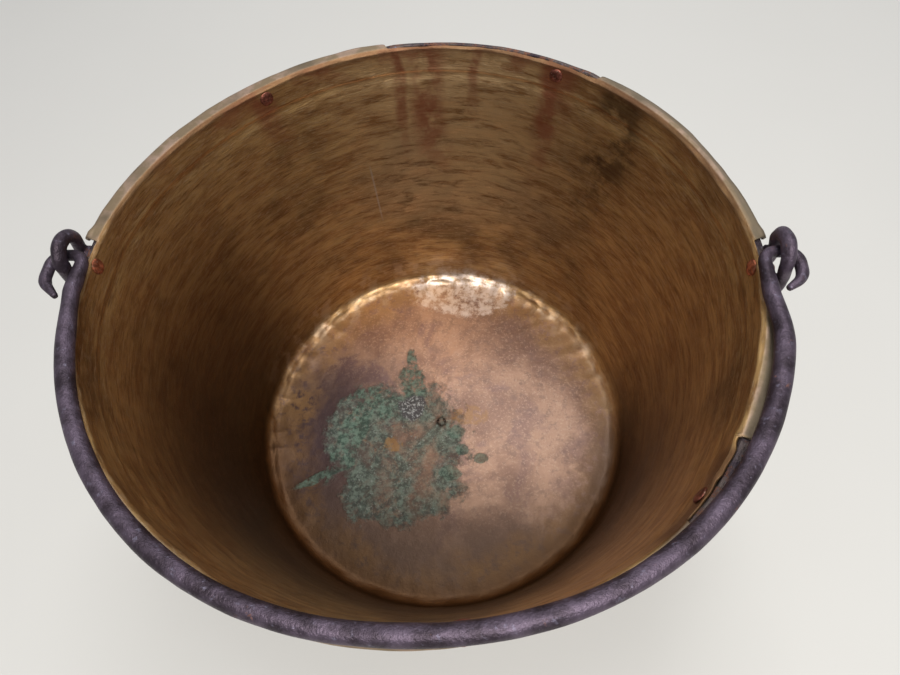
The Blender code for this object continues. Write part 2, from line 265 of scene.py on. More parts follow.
def build_pan():
    path, length, mark = sheet_line()
    azimuth = pan_azimuths()
    columns = len(azimuth)
    fixed = np.concatenate([np.linspace(0.004, mark["corner"], 46, endpoint=False),
                            np.linspace(mark["corner"], mark["wall"], 12, endpoint=False),
                            np.linspace(mark["wall"], mark["lip"] - 0.026, 84, endpoint=False),
                            np.linspace(mark["lip"] - 0.026, mark["lip"] - 0.003, 22,
                                        endpoint=False)])
    share = np.linspace(0, 1, 34)
    end = fold_end(azimuth, mark)
    start = mark["lip"] - 0.003
    place = np.vstack([np.repeat(fixed[:, None], columns, axis=1),
                       start + share[:, None] * (end - start)[None, :]])
    rows = len(place)
    radius = np.interp(place, length, path[:, 0])
    height = np.interp(place, length, path[:, 1])
    step = 0.0003
    run = np.interp(place + step, length, path[:, 0]) - np.interp(place - step, length,
                                                                path[:, 0])
    rise = np.interp(place + step, length, path[:, 1]) - np.interp(place - step, length,
                                                                 path[:, 1])
    size = np.hypot(run, rise)
    run, rise = run / size, rise / size
    turn = np.repeat(azimuth[None, :], rows, axis=0)

    # Hammer blows: broad on the wall, deep and lumpy round the corner, fine on the floor
    blows = [(0.012 + 0.011 * ring, SHEET) for ring in range(13)]
    blows += [(wall_radius(level), level) for level in np.arange(0.012, LIP_HEIGHT, 0.013)]
    tree = hammer_marks(blows, 0.0145, 11)
    flat = np.stack([radius * np.cos(np.radians(turn)), radius * np.sin(np.radians(turn)),
                     height], axis=-1)
    nearest = np.array([tree.find(point)[2] for point in flat.reshape(-1, 3)])
    facet = (nearest.reshape(rows, columns) / 0.0085) ** 2
    near_corner = np.exp(-((place - mark["corner"] - 0.004) / 0.017) ** 2)
    near_corner *= 0.30 + 0.70 * between(turn, 30.0, 205.0, 22.0)
    on_wall = smoothstep(place, mark["wall"], mark["wall"] + 0.02)
    on_floor = 1 - smoothstep(place, mark["corner"] - 0.03, mark["corner"])
    below_lip = mark["lip"] - place
    on_fold = smoothstep(-below_lip, -0.001, 0.001)

    depth = 0.00030 * on_wall + 0.00105 * near_corner + 0.00012 * on_floor
    shift = depth * facet
    shift += near_corner * 0.0017 * ripple(turn, place, 44, 0.018, 5)
    shift += near_corner * 0.0008 * ripple(turn, place, 96, 0.010, 6)
    shift += on_wall * 0.0009 * ripple(turn, place, 13, 0.075, 7)
    shift += on_wall * 0.00050 * ripple(turn, place, 40, 0.022, 8)
    # the hoop's lower edge has pressed a crease into the wall
    crease = below_lip - HOOP_HEIGHT - 0.0005
    shift -= 0.0010 * np.exp(-(crease / 0.006) ** 2) * (crease > 0)
    shift += 0.00035 * np.exp(-(crease / 0.0022) ** 2)
    shift *= 1 - on_fold
    # the base: slightly domed, with one shallow boss
    flat_x, flat_y = flat[..., 0], flat[..., 1]
    boss = np.exp(-((flat_x + 0.027) ** 2 + (flat_y - 0.013) ** 2) / 0.0095 ** 2)
    shift += on_floor * (0.0004 + 0.0004 * ripple(turn, radius, 9, 0.05, 9) + 0.0016 * boss)
    shift = np.where(place < mark["corner"] + 0.004, np.maximum(shift, 0.00002), shift)
    # the fold: beaten down over the hoop, so it dips and wanders
    dent = ripple(turn, 0 * place, 64, 1, 21) + 0.7 * ripple(turn, place, 150, 0.003, 22)
    shift += on_fold * (-0.00038 + 0.00022 * dent)
    lifted = between(turn, TEAR[0] - 4, TEAR[0] + 1, 1.5) + between(turn, TEAR[1] - 1,
                                                                  TEAR[1] + 3, 1.2)
    shift -= lifted * on_fold * 0.0007 * smoothstep(place, mark["fold"], mark["end"])
    outer_part = smoothstep(place, mark["fold"] + 0.003, mark["end"] - 0.003)
    flap = between(turn, 172.0, 174.6, 0.8) + 0.5 * between(turn, 5.4, 8.0, 0.8)
    shift += flap * outer_part * (0.0016 + 0.0006 * ripple(turn, place, 150, 0.002, 23))

    radius = radius - rise * shift
    height = height + run * shift
    push = out_of_round(turn, height)
    push += round_table(BAND_WIDTH, turn) * smoothstep(place, mark["fold"] - 0.001,
                                                       mark["fold"] + 0.0052)
    edge = between(turn, *TEAR, 1.0) * smoothstep(-below_lip, -0.006, 0.0005)
    push = push + edge * 0.0007 * ripple(turn, 0 * place, 130, 1, 24)

    points = []
    for side in (1, -1):
        half = side * SHEET / 2
        at = radius - rise * half + push
        up = height + run * half
        points.append(np.stack([at * np.cos(np.radians(turn)), at * np.sin(np.radians(turn)),
                                up], axis=-1).reshape(-1, 3))
    count = rows * columns
    inner_middle = (0.0, 0.0, height[0].mean() + SHEET / 2)
    outer_middle = (0.0, 0.0, height[0].mean() - SHEET / 2)
    points = np.vstack(points + [[inner_middle], [outer_middle]])
    faces = grid_faces(rows, columns) + grid_faces(rows, columns, count, flip=True)
    top = (rows - 1) * columns
    for column in range(columns):
        after = (column + 1) % columns
        faces.append((top + column, top + after, count + top + after, count + top + column))
        faces.append((2 * count, column, after))
        faces.append((2 * count + 1, count + after, count + column))
    faces = [face[::-1] for face in faces]
    pan = mesh_object("pan_shell_fine", points, faces)
    outer = np.concatenate([np.zeros(count), np.ones(count), [0.0, 1.0]])
    on_edge = np.concatenate([np.tile(smoothstep(-below_lip, 0.0010, 0.0024).reshape(-1), 2),
                              [0.0, 0.0]])
    for name, values in (("outer", outer), ("fold", on_edge)):
        layer = pan.data.attributes.new(name, "FLOAT", "POINT")
        layer.data.foreach_set("value", values.astype(np.float32))
    return pan


# Swept pieces

def swept(name, path, radii, across, section):
    """A bar along a path. across is one direction of each cross-section, and section gives
    the bar's outline in shares of its radius for each station and each angle."""
    sides = section.shape[1]
    path = np.array(path)
    tangent = np.gradient(path, axis=0)
    tangent /= np.linalg.norm(tangent, axis=1)[:, None]
    first = across - (across * tangent).sum(axis=1)[:, None] * tangent
    first /= np.linalg.norm(first, axis=1)[:, None]
    second = np.cross(tangent, first)
    angle = np.linspace(0, 2 * pi, sides, endpoint=False)
    ring = (first[:, None, :] * np.cos(angle)[None, :, None]
            + second[:, None, :] * np.sin(angle)[None, :, None])
    points = path[:, None, :] + ring * (section * np.array(radii)[:, None])[..., None]
    stations = len(path)
    faces = grid_faces(stations, sides)
    points = np.vstack([points.reshape(-1, 3), path[:1], path[-1:]])
    last = (stations - 1) * sides
    for side in range(sides):
        after = (side + 1) % sides
        faces.append((len(points) - 2, after, side))
        faces.append((len(points) - 1, last + side, last + after))
    return mesh_object(name, points, faces)


def build_hoop():
    """Rough iron band under the fold, bare and a little higher where the fold is gone."""
    near = SHEET + GAP
    far = near + HOOP_THICKNESS
    top = LIP_HEIGHT - SHEET - GAP
    bottom = top - HOOP_HEIGHT
    corners = [shifted_wall(far, top), shifted_wall(far, bottom),
               shifted_wall(near, bottom), shifted_wall(near, top)]
    loop = rounded_path(corners, [0.0014] * 4, 4)
    azimuth = np.arange(0, 360, 1.0)
    outline = []
    for first, second in zip(loop, loop[1:] + loop[:1]):
        pieces = max(1, round((second - first).length / 0.0022))
        outline += [first.lerp(second, step / pieces) for step in range(pieces)]
    middle = shifted_wall((near + far) / 2, (top + bottom) / 2)
    points = []
    for index, point in enumerate(outline):
        inward = (middle - point).normalized()
        bare = np.maximum(between(azimuth, *TEAR, 1.5), between(azimuth, *WORN, 1.5))
        bite = 0.00055 - 0.0003 * bare + 0.0003 * ripple(azimuth, 0 * azimuth + index * 0.9,
                                                         110, 2.0, 31)
        at = point.x + inward.x * bite
        up = point.y + inward.y * bite
        out_share = np.clip((point.x - wall_radius(point.y) - near) / (far - near), 0, 1)
        worn = between(azimuth, WORN[0] + 1, WORN[1] - 1, 1.5)
        up = up + 0.0011 * worn * smoothstep(point.y, middle.y, top)
        push = out_of_round(azimuth, up) + out_share * round_table(BAND_WIDTH, azimuth)
        at = at + push - out_share * near_ear(azimuth) * np.maximum(push, 0)
        points.append(np.stack([at * np.cos(np.radians(azimuth)),
                                at * np.sin(np.radians(azimuth)), up], axis=-1))
    points = np.array(points)
    rows = len(outline)
    points = np.vstack([points, points[:1]]).reshape(-1, 3)
    faces = grid_faces(rows + 1, len(azimuth), flip=True)
    hoop = mesh_object("rim_hoop_fine", points, faces)
    shape = bmesh.new()
    shape.from_mesh(hoop.data)
    bmesh.ops.remove_doubles(shape, verts=shape.verts, dist=0.000005)
    bmesh.ops.recalc_face_normals(shape, faces=shape.faces)
    shape.to_mesh(hoop.data)
    shape.free()
    return hoop


def lip_push(azimuth):
    return float(out_of_round(degrees(azimuth), LIP_HEIGHT))


def across_wall(azimuth, height, push=0.0):
    """Frame on the wall's inside: +Z square out through the wall."""
    turn = Matrix.Rotation(azimuth, 4, "Z")
    lean = Matrix.Rotation(pi / 2 + FLARE, 4, "Y")
    return turn @ Matrix.Translation((wall_radius(height) + push, 0.0, height)) @ lean


def build_rivet(node, azimuth, drop, grip, seed):
    """Copper rivet: a beaten dome inside the pan, a smaller peened tail outside."""
    head, head_rise, tail, tail_rise, shank = 0.0052, 0.0019, 0.0037, 0.0017, 0.0026
    seat = 0.00045
    profile = [(0.0002, grip + seat + tail_rise)]
    profile += [(tail * sin(a), grip + seat + tail_rise * max(cos(a), 0.12))
                for a in np.linspace(0.15, pi / 2, 9)]
    profile += [(tail, grip + seat), (shank, grip + seat), (shank, -seat + 0.0002),
                (head * 0.97, -seat + 0.0002), (head, -seat - 0.0002)]
    profile += [(head * sin(a), -seat - head_rise * (0.14 + 0.86 * cos(a) ** 0.8))
                for a in np.linspace(pi / 2 - 0.12, 0.12, 12)]
    profile += [(0.0002, -seat - head_rise)]
    sides = 36
    angle = np.linspace(0, 360, sides, endpoint=False)
    points = []
    for index, (radius, level) in enumerate(profile):
        wobble = 0.05 * ripple(angle, 0 * angle + index * 0.15, 5, 1, seed)
        wobble = wobble - 0.03 + 0.02 * ripple(angle, 0 * angle + index * 0.6, 11, 1, seed + 1)
        across = radius * (1 + wobble)
        sink = 0.00018 * ripple(angle, 0 * angle + index * 0.35, 6, 1, seed + 2)
        sink = np.where(level < -seat - 0.0003, np.abs(sink), 0.0)
        points.append(np.stack([across * np.cos(np.radians(angle)),
                                across * np.sin(np.radians(angle)),
                                level + sink], axis=-1))
    points = np.vstack([np.array(points).reshape(-1, 3), [[0, 0, profile[0][1]]],
                        [[0, 0, profile[-1][1]]]])
    faces = grid_faces(len(profile), sides)
    last = (len(profile) - 1) * sides
    for side in range(sides):
        after = (side + 1) % sides
        faces.append((len(points) - 2, after, side))
        faces.append((len(points) - 1, last + side, last + after))
    rivet = mesh_object(node + "_fine", points, faces)
    rivet.data.transform(across_wall(azimuth, LIP_HEIGHT - drop, lip_push(azimuth)))
    return rivet


def forged(name, parts, voxel, smoothing):
    """Weld overlapping meshes into one skin and soften it, as forging does."""
    welded = parts[0]
    with bpy.context.temp_override(active_object=welded, selected_objects=parts,
                                   selected_editable_objects=parts, object=welded):
        bpy.ops.object.join()
    skin = welded.modifiers.new("skin", "REMESH")
    skin.mode = "VOXEL"
    skin.voxel_size = voxel
    skin.use_smooth_shade = True
    soft = welded.modifiers.new("soft", "SMOOTH")
    soft.factor = 0.5
    soft.iterations = smoothing
    view = bpy.context.evaluated_depsgraph_get()
    data = bpy.data.meshes.new_from_object(welded.evaluated_get(view))
    data.shade_smooth()
    made = bpy.data.objects.new(name, data)
    bpy.context.scene.collection.objects.link(made)
    bpy.data.objects.remove(welded, do_unlink=True)
    return made


def build_ear(side, azimuth, seed):
    """Forged ear: a tapering arch through which the bail's hook passes, on a tang."""
    rng = np.random.default_rng(seed)
    legs = LIP_HEIGHT - LEG_DEPTH
    shoulder = LIP_HEIGHT - SHEET
    arch = [(LEG_SET, -EAR_RING, level) for level in np.linspace(legs, shoulder, 8)]
    radii = [EAR_BAR_NEAR] * 8
    for turn in np.linspace(0, pi, 33)[1:-1]:
        arch.append((0.0, -EAR_RING * cos(turn), EYE_HEIGHT + EAR_RING * sin(turn)))
        radii.append(EAR_BAR_NEAR + (EAR_BAR_TOP - EAR_BAR_NEAR) * min(1.0, 2 * turn / pi))
    arch += [(LEG_SET, EAR_RING, level) for level in np.linspace(shoulder, legs, 8)]
    radii += [EAR_BAR_NEAR] * 8
    arch = np.array(arch)
    arch[:, 1] += 0.0003 * np.interp(np.arange(len(arch)), np.arange(0, len(arch), 6),
                                     rng.uniform(-1, 1, len(range(0, len(arch), 6))))
    angle = np.linspace(0, 360, 20, endpoint=False)
    station = np.arange(len(arch))[:, None]
    section = 0.97 + 0.06 * ripple(angle[None, :], station * 1.0, 6, 3.0, seed)
    section = np.minimum(section, 1.0) * (1 - 0.05 * np.abs(np.sin(np.radians(2 * angle))))
    section = section * (1 + 0.08 * np.sin(np.radians(angle)) ** 2)
    across = np.tile([1.0, 0.0, 0.0], (len(arch), 1))
    bar = swept("arch", arch, radii, across, section)
    bar.data.transform(Matrix.Rotation(azimuth, 4, "Z")
                       @ Matrix.Translation((EAR_REACH, 0.0, 0.0)))

    plate = bmesh.new()
    bmesh.ops.create_cube(plate, size=1.0)
    bmesh.ops.scale(plate, vec=(TANG_HEIGHT, TANG_WIDTH, TANG_THICKNESS), verts=plate.verts)
    bmesh.ops.bevel(plate, geom=plate.edges[:], offset=0.0011, segments=3, affect="EDGES")
    data = bpy.data.meshes.new("tang")
    plate.to_mesh(data)
    plate.free()
    tang = bpy.data.objects.new("tang", data)
    bpy.context.scene.collection.objects.link(tang)
    back = SHEET + GAP + HOOP_THICKNESS + GAP
    data.transform(across_wall(azimuth, LIP_HEIGHT - SHEET - TANG_HEIGHT / 2)
                   @ Matrix.Translation((0.0, 0.0, back + TANG_THICKNESS / 2)))
    return forged("ear_" + side + "_fine", [bar, tang], 0.00055, 6)


# The bail

ROD_RADIUS = 0.0055
ROD_FATTER = 0.0001                # thicker by this much at the right, thinner at the left
NECK_REACH = 0.2008
NECK_START = 0.028
BOW_DEPTH = 0.2025
BOW_SHARE = 0.875                  # how much of the quarter oval the bow runs before the neck
BOW_STEPS = 132
STATION = 0.0012                   # spacing of the rod's cross-sections
BAIL_HALVES = {
    -1: {"width": 0.2005, "power": 2.06, "eye_depth": 0.0012, "curl_reach": 0.2204,
         "curl_depth": 0.021, "tip_reach": 0.2086, "tip_depth": 0.0320},
    1: {"width": 0.2070, "power": 2.20, "eye_depth": -0.0014, "curl_reach": 0.2200,
        "curl_depth": 0.0165, "tip_reach": 0.2092, "tip_depth": 0.0245},
}


def bail_half(side):
    """Centreline (across, ahead of the hinge axis) and radii from crown to hook tip."""
    half = BAIL_HALVES[side]
    points, radii = [], []
    for step in range(BOW_STEPS + 1):
        angle = pi / 2 * (1 - BOW_SHARE * step / BOW_STEPS)
        across = half["width"] * cos(angle) ** (2 / half["power"])
        ahead = BOW_DEPTH * sin(angle) ** (2 / half["power"])
        points.append(Vector((side * across, ahead + EYE_BACK)))
        radii.append(ROD_RADIUS + side * ROD_FATTER * cos(angle))
    corners = [points[-1], Vector((side * NECK_REACH, NECK_START)),
               Vector((side * NECK_REACH, half["eye_depth"])),
               Vector((side * half["curl_reach"], half["eye_depth"])),
               Vector((side * half["curl_reach"], half["curl_depth"])),
               Vector((side * half["tip_reach"], half["tip_depth"]))]
    corner_path = rounded_path(corners, [0, 0.012, 0.008, 0.008, 0.011, 0], 14)
    sparse = lengths_along([tuple(point) for point in corner_path])
    dense = np.arange(0.0009, sparse[-1], 0.0009)
    hook = np.stack([np.interp(dense, sparse, [point[axis] for point in corner_path])
                     for axis in (0, 1)], axis=-1)
    stages = [(0.0, 0.0050), (0.026, 0.0048), (0.040, 0.0039), (0.052, 0.0036),
              (sparse[-1] - 0.015, 0.0036), (sparse[-1] - 0.0015, 0.0019),
              (sparse[-1], 0.0009)]
    radii += list(np.interp(dense, [at for at, _ in stages], [wide for _, wide in stages]))
    route = np.vstack([[tuple(point) for point in points], hook])

    # even stations, and no kink or step where the bow runs into the neck
    at = lengths_along(route)
    even = np.arange(0.0, at[-1], STATION)
    route = np.stack([np.interp(even, at, route[:, axis]) for axis in (0, 1)], axis=-1)
    radii = np.interp(even, at, radii)
    join = int(at[BOW_STEPS] / STATION)
    easing = np.exp(-((np.arange(len(even)) - join) / 9.0) ** 2)
    calm_route, calm_radii = route.copy(), radii.copy()
    for _ in range(60):
        calm_route[1:-1] = (calm_route[:-2] + calm_route[1:-1] + calm_route[2:]) / 3
        calm_radii[1:-1] = (calm_radii[:-2] + calm_radii[1:-1] + calm_radii[2:]) / 3
    route += easing[:, None] * (calm_route - route)
    radii += easing * (calm_radii - radii)
    return route, list(radii)


def build_bail():
    left, left_radii = bail_half(-1)
    right, right_radii = bail_half(1)
    flat = np.vstack([left[::-1], right[1:]])
    radii = np.array(left_radii[::-1] + right_radii[1:])
    path = np.stack([flat[:, 0], -flat[:, 1], 0 * flat[:, 0]], axis=-1)
    length = lengths_along(path)
    sides = 28
    angle = np.linspace(0, 360, sides, endpoint=False)[None, :]
    along = length[:, None]
    from_end = np.minimum(length, length[-1] - length)[:, None]
    bow = smoothstep(from_end, 0.055, 0.09)
    section = 0.985 + 0.03 * ripple(angle, along, 5, 0.021, 41) * bow
    section = section + 0.018 * ripple(angle, along, 9, 0.007, 42)
    squarish = 0.03 * np.abs(np.cos(np.radians(2 * angle + 2600 * along)))
    section = np.minimum(section, 1.0) - squarish
    across = np.tile([0.0, 0.0, 1.0], (len(path), 1))
    bail = swept("bail_fine", path, radii, across, section)
    tilt = asin((EYE_RISE - ROD_RADIUS - GAP) / (BOW_DEPTH + EYE_BACK))
    bail.data.transform(Matrix.Translation((0.0, EYE_BACK, EYE_HEIGHT))
                        @ Matrix.Rotation(tilt, 4, "X"))
    return bail


# Materials

class Finish:
    """One procedural material, written as short calls that each add a node."""

    def __init__(self, name):
        self.material = bpy.data.materials.new(name)
        self.material.use_nodes = True
        self.tree = self.material.node_tree
        self.shader = self.tree.nodes["Principled BSDF"]
        self.place = self.add("ShaderNodeTexCoord").outputs["Object"]
        split = self.add("ShaderNodeSeparateXYZ", {0: self.place})
        self.x, self.y, self.z = split.outputs

    def add(self, kind, inputs=None, **settings):
        made = self.tree.nodes.new(kind)
        for name, value in settings.items():
            setattr(made, name, value)
        for key, value in (inputs or {}).items():
            if isinstance(value, bpy.types.NodeSocket):
                self.tree.links.new(value, made.inputs[key])
            else:
                made.inputs[key].default_value = value
        return made

    def math(self, operation, first, second=0.0, clamp=False):
        return self.add("ShaderNodeMath", {0: first, 1: second}, operation=operation,
                        use_clamp=clamp).outputs[0]

    def times(self, *values):
        made = values[0]
        for value in values[1:]:
            made = self.math("MULTIPLY", made, value)
        return made

    def plus(self, *values, clamp=False):
        made = values[0]
        for value in values[1:]:
            made = self.math("ADD", made, value, clamp)
        return made

    def most(self, *values):
        made = values[0]
        for value in values[1:]:
            made = self.math("MAXIMUM", made, value)
        return made

    def span(self, value, low, high, start=0.0, end=1.0):
        """Smoothly from start to end as the value goes from low to high."""
        return self.add("ShaderNodeMapRange",
                        {0: value, 1: low, 2: high, 3: start, 4: end},
                        interpolation_type="SMOOTHSTEP").outputs[0]

    def noise(self, scale, detail=3.0, rough=0.55, at=None, warp=0.0):
        made = self.add("ShaderNodeTexNoise", {"Vector": at or self.place, "Scale": scale,
                                               "Detail": detail, "Roughness": rough,
                                               "Distortion": warp})
        return made.outputs[0]

    def point(self, x, y, z):
        return self.add("ShaderNodeCombineXYZ", {0: x, 1: y, 2: z}).outputs[0]

    def mix(self, share, first, second):
        made = self.add("ShaderNodeMix", data_type="RGBA")
        for socket, value in ((made.inputs[0], share), (made.inputs[6], first),
                              (made.inputs[7], second)):
            if isinstance(value, bpy.types.NodeSocket):
                self.tree.links.new(value, socket)
            elif isinstance(value, tuple):
                socket.default_value = (*value, 1.0)
            else:
                socket.default_value = value
        return made.outputs[2]

    def blend(self, share, first, second):
        """Number from first to second, by share."""
        return self.plus(self.times(first, self.math("SUBTRACT", 1.0, share)),
                         self.times(second, share))

    def attribute(self, name):
        return self.add("ShaderNodeAttribute", attribute_name=name).outputs["Fac"]

    def blot(self, x, y, across, along, slant=0.0, wander=None):
        """Share 1 inside an ellipse on the floor, 0 outside, with an edge broken by
        wander, a noise from 0 to 1."""
        east = self.math("SUBTRACT", self.x, x)
        north = self.math("SUBTRACT", self.y, y)
        turn = radians(slant)
        u = self.times(self.plus(self.times(east, cos(turn)), self.times(north, sin(turn))),
                       1 / across)
        v = self.times(self.plus(self.times(north, cos(turn)), self.times(east, -sin(turn))),
                       1 / along)
        far = self.math("SQRT", self.plus(self.times(u, u), self.times(v, v)))
        if wander is not None:
            far = self.plus(far, self.times(self.math("SUBTRACT", wander, 0.5), 1.3))
        return self.span(far, 1.12, 0.86)

    def finish(self, colour, roughness, metallic, bumps):
        """bumps are (height, distance in metres, strength), coarse ones first."""
        for key, value in (("Base Color", colour), ("Roughness", roughness),
                           ("Metallic", metallic)):
            if isinstance(value, bpy.types.NodeSocket):
                self.tree.links.new(value, self.shader.inputs[key])
            else:
                self.shader.inputs[key].default_value = value
        normal = None
        for height, distance, strength in bumps:
            bump = self.add("ShaderNodeBump", {"Height": height, "Distance": distance,
                                               "Strength": strength})
            if normal is not None:
                self.tree.links.new(normal, bump.inputs["Normal"])
            normal = bump.outputs[0]
        self.tree.links.new(normal, self.shader.inputs["Normal"])
        return self.material


def brass_finish():
    """Brass under a brown patina: scratched round the wall, mauve on the floor."""
    look = Finish("aged_brass_fine")
    turn = look.math("ARCTAN2", look.y, look.x)
    radius = look.math("SQRT", look.plus(look.times(look.x, look.x),
                                         look.times(look.y, look.y)))
    outer = look.attribute("outer")
    fold = look.attribute("fold")
    edge_noise = look.times(look.math("SUBTRACT", look.noise(45.0, 4.0, 0.6), 0.5), 0.02)
    on_floor = look.times(look.span(look.plus(radius, edge_noise), 0.166, 0.138),
                          look.span(look.plus(look.z, edge_noise), 0.034, 0.006))
    # round the wall: long along the ring, short up the wall
    ring_place = look.point(look.times(look.x, 1.0), look.times(look.y, 1.0),
                            look.times(look.z, 5.0))
    broad = look.noise(9.0, 4.0, 0.6)
    streak = look.noise(34.0, 6.0, 0.66, at=ring_place, warp=0.5)
    lines = look.noise(170.0, 4.0, 0.65, at=ring_place, warp=0.2)
    speck = look.noise(420.0, 2.0, 0.5)
    thin_place = look.point(look.x, look.y, look.times(look.z, 16.0))
    thin = look.noise(62.0, 5.0, 0.7, at=thin_place, warp=0.25)

    gold, buff, brown, umber = ((0.58, 0.37, 0.15), (0.52, 0.38, 0.23), (0.34, 0.180, 0.068),
                                (0.13, 0.068, 0.028))
    wall = look.mix(look.span(streak, 0.34, 0.66), brown, gold)
    wall = look.mix(look.times(look.span(broad, 0.50, 0.68), 0.75), wall, umber)
    wall = look.mix(look.times(look.span(lines, 0.50, 0.66), 0.45), wall, buff)
    wall = look.mix(look.times(look.span(thin, 0.50, 0.64), 0.50), wall, umber)
    wall = look.mix(look.times(look.span(thin, 0.46, 0.36), 0.30), wall, buff)
    # darker towards the bottom at the front: partly dark patina, partly painted shade
    low = look.times(look.span(look.y, 0.08, -0.08), look.span(look.z, 0.22, 0.06))
    wall = look.mix(look.times(low, 0.88), wall, (0.060, 0.026, 0.009))
    # darker low on the left wall: partly dark patina, partly painted shade
    side = look.times(look.span(look.x, -0.06, -0.15), look.span(look.y, 0.15, 0.04),
                      look.span(look.z, 0.270, 0.10))
    wall = look.mix(look.times(side, 0.80), wall, (0.055, 0.024, 0.008))

    # painted light: the middle of the back wall lightened to bright gold along its streaks
    back = look.times(look.span(look.y, 0.10, 0.17), look.span(look.z, 0.05, 0.11),
                      look.span(look.math("ABSOLUTE", look.plus(look.x, -0.015)), 0.13, 0.02))
    wall = look.mix(look.times(back, look.span(streak, 0.30, 0.55), 0.55), wall,
                    (0.80, 0.56, 0.30))

    # reddish runs from the rim at the back, and sooty smudges beside them
    red = (0.30, 0.085, 0.045)
    wobble = look.times(look.math("SUBTRACT", look.noise(14.0), 0.5), 0.16)
    at = look.plus(turn, wobble)
    runs = None
    for azimuth, half, low in ((98.3, 1.6, 0.165), (91.0, 4.5, 0.140), (64.0, 2.6, 0.150),
                               (127.6, 3.2, 0.200), (62.0, 3.4, 0.205), (80.0, 1.2, 0.20)):
        off = look.math("ABSOLUTE", look.math("SUBTRACT", at, radians(azimuth)))
        one = look.times(look.span(off, radians(half) * 1.4, radians(half) * 0.3),
                         look.span(look.z, low - 0.03, low + 0.05))
        runs = one if runs is None else look.most(runs, one)
    under_lip = look.times(look.span(look.z, 0.222, 0.240),
                           look.span(look.noise(26.0), 0.48, 0.60),
                           look.span(look.y, 0.06, 0.13))
    runs = look.times(look.most(runs, look.times(under_lip, 0.8)),
                      look.span(look.noise(60.0), 0.30, 0.55))
    wall = look.mix(look.times(runs, 0.75), wall, red)
    off = look.math("ABSOLUTE", look.math("SUBTRACT", look.plus(turn, look.times(wobble, 2)),
                                          radians(46.0)))
    smudge = look.times(look.span(off, radians(10), radians(3)), look.span(look.z, 0.09, 0.17),
                        look.span(look.noise(30.0, 5.0, 0.65), 0.42, 0.60))
    wall = look.mix(look.times(smudge, 0.7), wall, (0.045, 0.024, 0.012))
    off = look.math("ABSOLUTE", look.math("SUBTRACT", turn, radians(109.0)))
    drip = look.times(look.span(off, radians(0.35), radians(0.1)), look.span(look.z, 0.08, 0.10),
                      look.span(look.z, 0.150, 0.140))
    wall = look.mix(look.times(drip, 0.5), wall, (0.5, 0.45, 0.38))

    # the floor
    cloud = look.noise(16.0, 5.0, 0.6, warp=0.4)
    grain = look.noise(130.0, 5.0, 0.7)
    floor = look.mix(look.span(cloud, 0.38, 0.60), (0.20, 0.105, 0.068), (0.35, 0.205, 0.132))
    floor = look.mix(look.times(look.span(grain, 0.48, 0.64), 0.5), floor, (0.14, 0.08, 0.06))
    mauve = look.span(look.noise(21.0, 5.0, 0.65, warp=0.6), 0.50, 0.62)
    floor = look.mix(look.times(mauve, look.span(look.x, 0.10, -0.06, 0.35, 0.8)), floor,
                     (0.150, 0.080, 0.076))
    pits = look.span(look.noise(420.0, 4.0, 0.75), 0.52, 0.62)
    floor = look.mix(look.times(pits, 0.4), floor, (0.48, 0.32, 0.22))
    # darker to the left front of the floor: partly darker patina, partly painted shade
    left_floor_patina_and_shade = look.times(look.span(look.x, 0.0, -0.10), look.span(look.y, 0.10, 0.02))
    floor = look.mix(look.times(left_floor_patina_and_shade, 0.92), floor, (0.040, 0.022, 0.023))
    # painted shade: the floor darkened towards the front
    front_floor_painted_shade = look.span(look.plus(look.y, look.times(cloud, 0.06)), 0.0, -0.09)
    floor = look.mix(look.times(front_floor_painted_shade, 0.9), floor, (0.060, 0.032, 0.017))
    drift = look.times(look.math("SUBTRACT", look.noise(19.0, 4.0, 0.6), 0.5), 0.10)
    # a ring of tone near the floor's edge; its colour painted darker at the front and lighter at the
    # back, as shade and light
    ring = look.times(look.span(look.plus(radius, drift), 0.110, 0.148),
                      look.span(grain, 0.34, 0.52))
    floor = look.mix(look.times(ring, 0.6), floor, look.mix(look.span(look.y, -0.04, 0.06),
                                                            (0.150, 0.072, 0.018), (0.36, 0.20, 0.07)))

    # verdigris: a wide crust left of the middle, a spike behind it and a tail to the left
    fray = look.noise(60.0, 5.0, 0.72)
    crust = look.most(look.blot(-0.034, -0.024, 0.058, 0.060, 0, fray),
                      look.blot(-0.066, -0.012, 0.038, 0.040, 0, fray),
                      look.blot(-0.030, -0.064, 0.050, 0.030, 10, fray))
    bright = look.most(look.blot(-0.029, 0.038, 0.013, 0.020, 8, fray),
                       look.blot(-0.031, 0.062, 0.005, 0.014, 10, fray),
                       look.blot(-0.058, 0.018, 0.028, 0.014, -20, fray),
                       look.blot(-0.080, -0.014, 0.012, 0.044, -20, fray),
                       look.blot(-0.100, -0.052, 0.034, 0.004, 27, fray))
    soft_fray = look.noise(150.0, 4.0, 0.7)
    spots = look.most(look.blot(0.014, -0.010, 0.008, 0.007, 0, soft_fray),
                      look.blot(0.020, -0.026, 0.006, 0.005, 0, soft_fray),
                      look.blot(0.036, -0.034, 0.006, 0.005, 0, soft_fray),
                      look.blot(0.010, -0.048, 0.009, 0.007, 0, soft_fray))
    bright = look.times(look.most(look.times(bright, look.span(grain, 0.38, 0.56)),
                                  look.times(spots, 0.8)), on_floor)
    crust = look.times(crust, on_floor)
    patches = look.span(look.noise(44.0, 6.0, 0.75, warp=0.8), 0.34, 0.54)
    fine = look.noise(230.0, 5.0, 0.75)
    green = look.mix(look.span(fine, 0.40, 0.62), (0.040, 0.052, 0.041),
                     (0.130, 0.165, 0.130))
    stain = look.mix(patches, look.mix(look.span(fine, 0.42, 0.60), (0.060, 0.042, 0.034),
                                       (0.150, 0.085, 0.052)), green)
    pale = look.span(look.noise(380.0, 4.0, 0.75), 0.56, 0.66)
